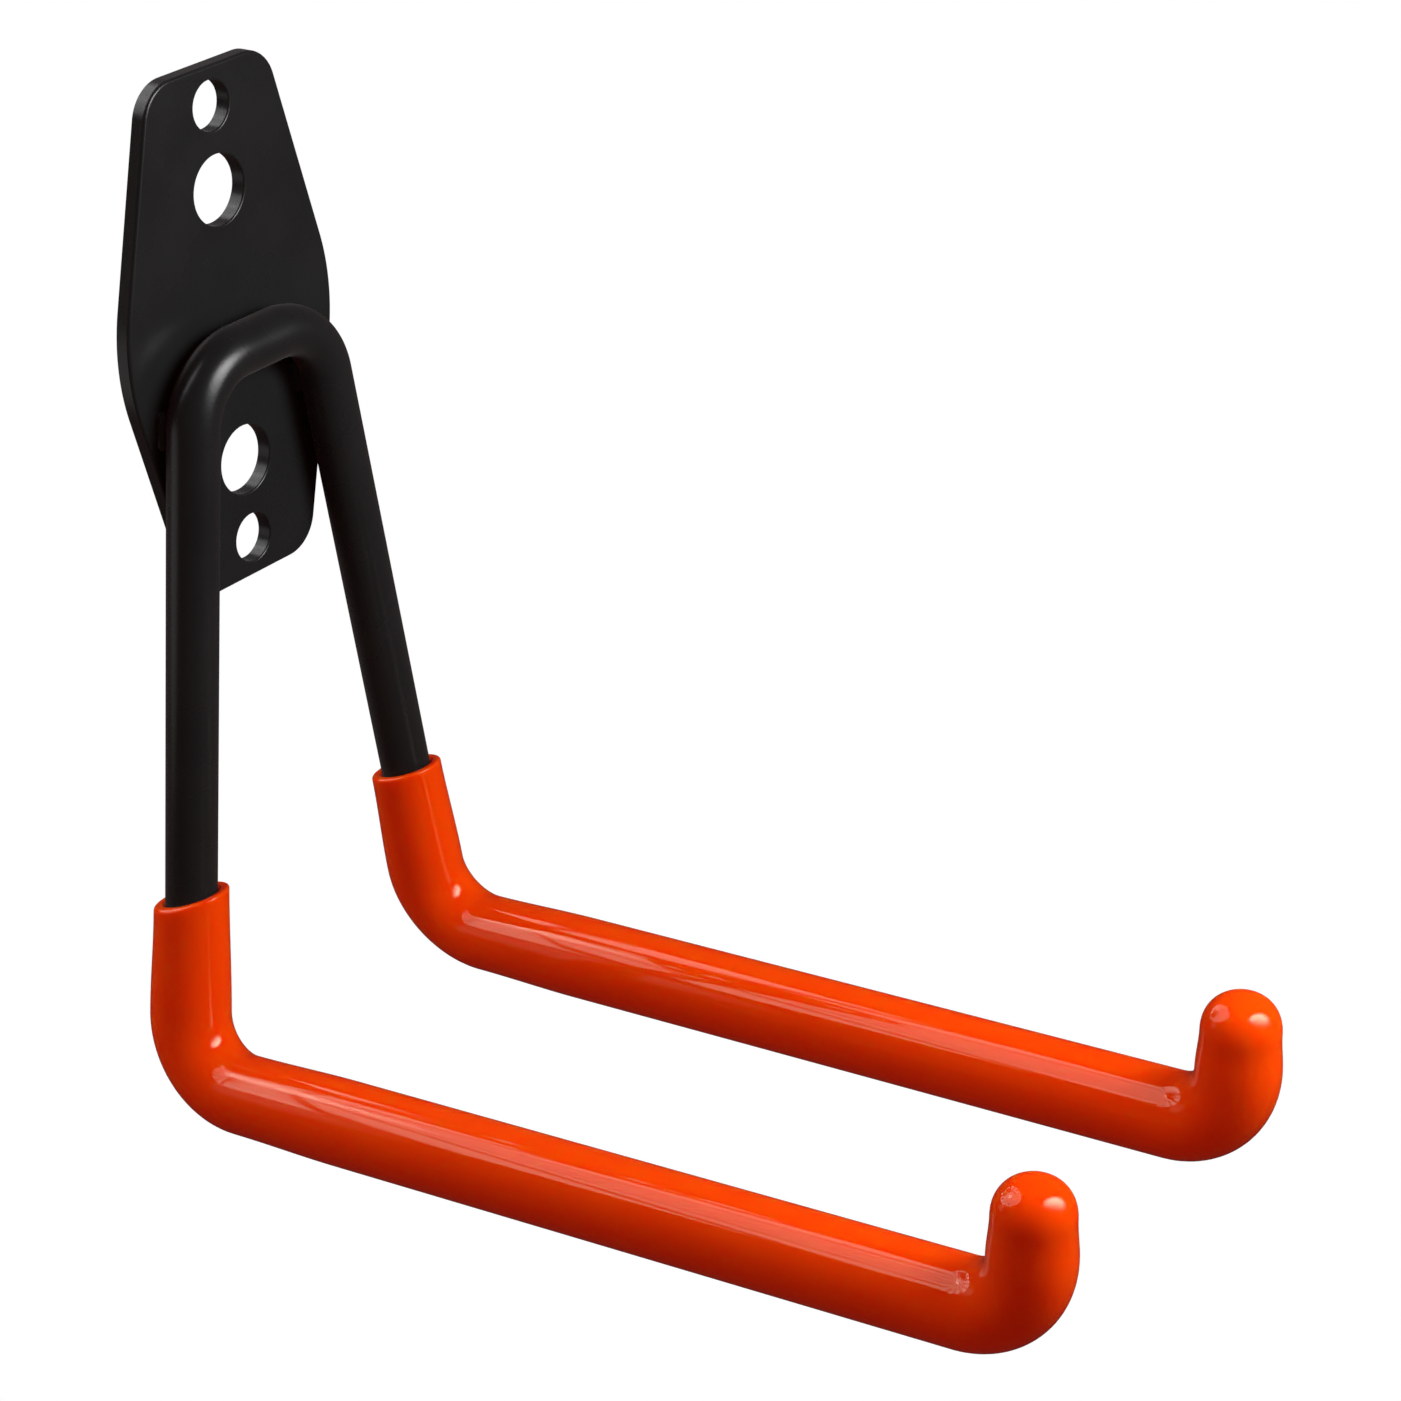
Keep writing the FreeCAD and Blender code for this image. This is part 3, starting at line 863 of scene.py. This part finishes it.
class HOOK_OT_studio(bpy.types.Operator):
    """Builds the floor, the surroundings, the lamps and the camera"""

    bl_idname = "hook.studio"
    bl_label = "Studio"

    def floor(self, studio):
        """A pale floor that the camera sees as white."""
        half = studio.floor_size / 2
        mesh = bpy.data.meshes.new("floor")
        mesh.from_pydata([(-half, -half, -studio.floor_drop), (half, -half, -studio.floor_drop),
                          (half, half, -studio.floor_drop), (-half, half, -studio.floor_drop)],
                         [], [(0, 1, 2, 3)])
        floor = add_piece("floor", mesh)
        material, tree, shader = new_material("pale_floor")
        shader.inputs["Base Color"].default_value = (0.8, 0.8, 0.8, 1.0)
        shader.inputs["Roughness"].default_value = 0.9
        straight, glossy = self.seen(tree)
        strength = ramp(tree, glossy, (0.0, 1.0), (studio.white, studio.white * studio.mirrored_white))
        glow = add_node(tree, "ShaderNodeEmission", {"Strength": strength})
        mixed = add_node(tree, "ShaderNodeMixShader", {
            0: math_node(tree, "MAXIMUM", straight, glossy), 1: shader.outputs[0], 2: glow.outputs[0]})
        tree.links.new(mixed.outputs[0], tree.nodes["Material Output"].inputs["Surface"])
        mesh.materials.append(material)

    def seen(self, tree):
        """1 where the camera looks, straight or through glass, and 1 where a coat mirrors."""
        path = add_node(tree, "ShaderNodeLightPath").outputs
        straight = math_node(tree, "MAXIMUM", path["Is Camera Ray"], path["Is Transmission Ray"])
        return straight, path["Is Glossy Ray"]

    def surroundings(self, scene, studio):
        """White to the camera, and a soft even light to the hook."""
        world = bpy.data.worlds.new("studio")
        world.use_nodes = True
        tree = world.node_tree
        scene.world = world
        straight, glossy = self.seen(tree)
        unseen = ramp(tree, glossy, (0.0, 1.0),
                      (studio.surroundings, studio.white * studio.mirrored_white))
        strength = ramp(tree, straight, (0.0, 1.0), (unseen, studio.white))
        background = tree.nodes["Background"]
        shade = colour_mix(tree, math_node(tree, "MAXIMUM", straight, glossy),
                           studio.surroundings_colour, (1.0, 1.0, 1.0))
        tree.links.new(shade, background.inputs["Color"])
        tree.links.new(strength, background.inputs["Strength"])

    def umbrella(self, studio):
        """The large umbrella above and behind the plate, with its ribs, its hub and the flash head."""
        tree = add_lamp("umbrella", studio.umbrella_place, studio.umbrella_aim, studio.umbrella_width,
                        studio.umbrella_height, studio.umbrella_turn, studio.umbrella_power)
        x, y, middle = disc_coordinates(tree)
        turn = math_node(tree, "ARCTAN2", y, x)
        panels = math_node(tree, "MULTIPLY", turn, studio.umbrella_ribs / math.tau)
        panel = ramp(tree, math_node(tree, "PINGPONG", panels, 0.5), RIB_EDGE)
        hub = ramp(tree, middle, HUB_EDGE, (HUB_STRENGTH, 1.0))
        strength = math_node(tree, "MULTIPLY", math_node(tree, "MULTIPLY", panel, hub),
                             self.flash_head(tree, x, y))
        tree.links.new(strength, tree.nodes["Emission"].inputs["Strength"])

    def flash_head(self, tree, x, y):
        """The dark head of the flash that lights the umbrella from inside."""
        aside = math_node(tree, "POWER", math_node(tree, "SUBTRACT", x, HEAD_PLACE[0]), 2.0)
        above = math_node(tree, "POWER", math_node(tree, "SUBTRACT", y, HEAD_PLACE[1]), 2.0)
        away = math_node(tree, "SQRT", math_node(tree, "ADD", aside, above))
        return ramp(tree, away, HEAD_EDGE, (HEAD_STRENGTH, 1.0))

    def soft_lamp(self, studio):
        """The smaller, brighter lamp in front, brightest near its top."""
        tree = add_lamp("soft_lamp", studio.soft_place, studio.soft_aim, studio.soft_width,
                        studio.soft_height, studio.soft_turn, studio.soft_power)
        y, middle = disc_coordinates(tree)[1:]
        rim = ramp(tree, middle, SOFT_EDGE, (1.0, SOFT_EDGE_STRENGTH), "SMOOTHSTEP")
        height = ramp(tree, y, SOFT_HEIGHT, SOFT_HEIGHT_STRENGTHS, "SMOOTHSTEP")
        strength = math_node(tree, "MULTIPLY", rim, height)
        tree.links.new(strength, tree.nodes["Emission"].inputs["Strength"])

    def back_lamp(self, studio):
        """A dim lamp with a soft edge behind the plate, which the plate's edge mirrors."""
        tree = add_lamp("back_lamp", studio.back_place, (0.0, 0.0, 0.0), studio.back_size,
                        studio.back_size, 0.0, studio.back_power)
        middle = disc_coordinates(tree)[2]
        strength = ramp(tree, middle, BACK_EDGE, (1.0, BACK_EDGE_STRENGTH), "SMOOTHSTEP")
        tree.links.new(strength, tree.nodes["Emission"].inputs["Strength"])

    def camera(self, scene, studio):
        """The camera, where the photograph was taken from."""
        data = bpy.data.cameras.new("camera")
        data.sensor_width = 36.0
        data.lens = studio.camera_lens
        data.clip_start = 0.01
        camera = bpy.data.objects.new("camera", data)
        camera.location = studio.camera_place
        camera.rotation_euler = studio.camera_turn
        scene.collection.objects.link(camera)
        scene.camera = camera

    def execute(self, context):
        scene = context.scene
        studio = scene.hook_studio
        self.floor(studio)
        self.surroundings(scene, studio)
        self.umbrella(studio)
        self.soft_lamp(studio)
        self.back_lamp(studio)
        self.camera(scene, studio)
        scene.view_settings.view_transform = "Standard"
        return {"FINISHED"}


BUILD_STEPS = (HOOK_OT_wall_plate, HOOK_OT_rod, HOOK_OT_sleeves, HOOK_OT_welds, HOOK_OT_studio)
SETTINGS = (("hook_plate", PlateSizes), ("hook_rod", RodSizes), ("hook_sleeves", SleeveSizes),
            ("hook_welds", WeldSizes), ("hook_finishes", Finishes), ("hook_studio", Studio))


class HOOK_PT_build(bpy.types.Panel):
    """Settings and build steps of the hook"""

    bl_idname = "HOOK_PT_build"
    bl_label = "Garage hook"
    bl_space_type = "VIEW_3D"
    bl_region_type = "UI"
    bl_category = "Hook"

    def draw(self, context):
        for step in BUILD_STEPS:
            self.layout.operator(step.bl_idname)
        for name, group in SETTINGS:
            box = self.layout.box()
            box.label(text=group.__doc__)
            for key in group.__annotations__:
                box.prop(getattr(context.scene, name), key)


CLASSES = tuple(group for _, group in SETTINGS) + BUILD_STEPS + (HOOK_PT_build,)


def register():
    for cls in CLASSES:
        bpy.utils.register_class(cls)
    for name, group in SETTINGS:
        setattr(bpy.types.Scene, name, PointerProperty(type=group))


def unregister():
    for name, _ in reversed(SETTINGS):
        delattr(bpy.types.Scene, name)
    for cls in reversed(CLASSES):
        bpy.utils.unregister_class(cls)


def main():
    register()
    bpy.ops.hook.wall_plate()
    bpy.ops.hook.rod()
    bpy.ops.hook.sleeves()
    bpy.ops.hook.welds()
    bpy.ops.hook.studio()


if __name__ == "__main__":
    main()
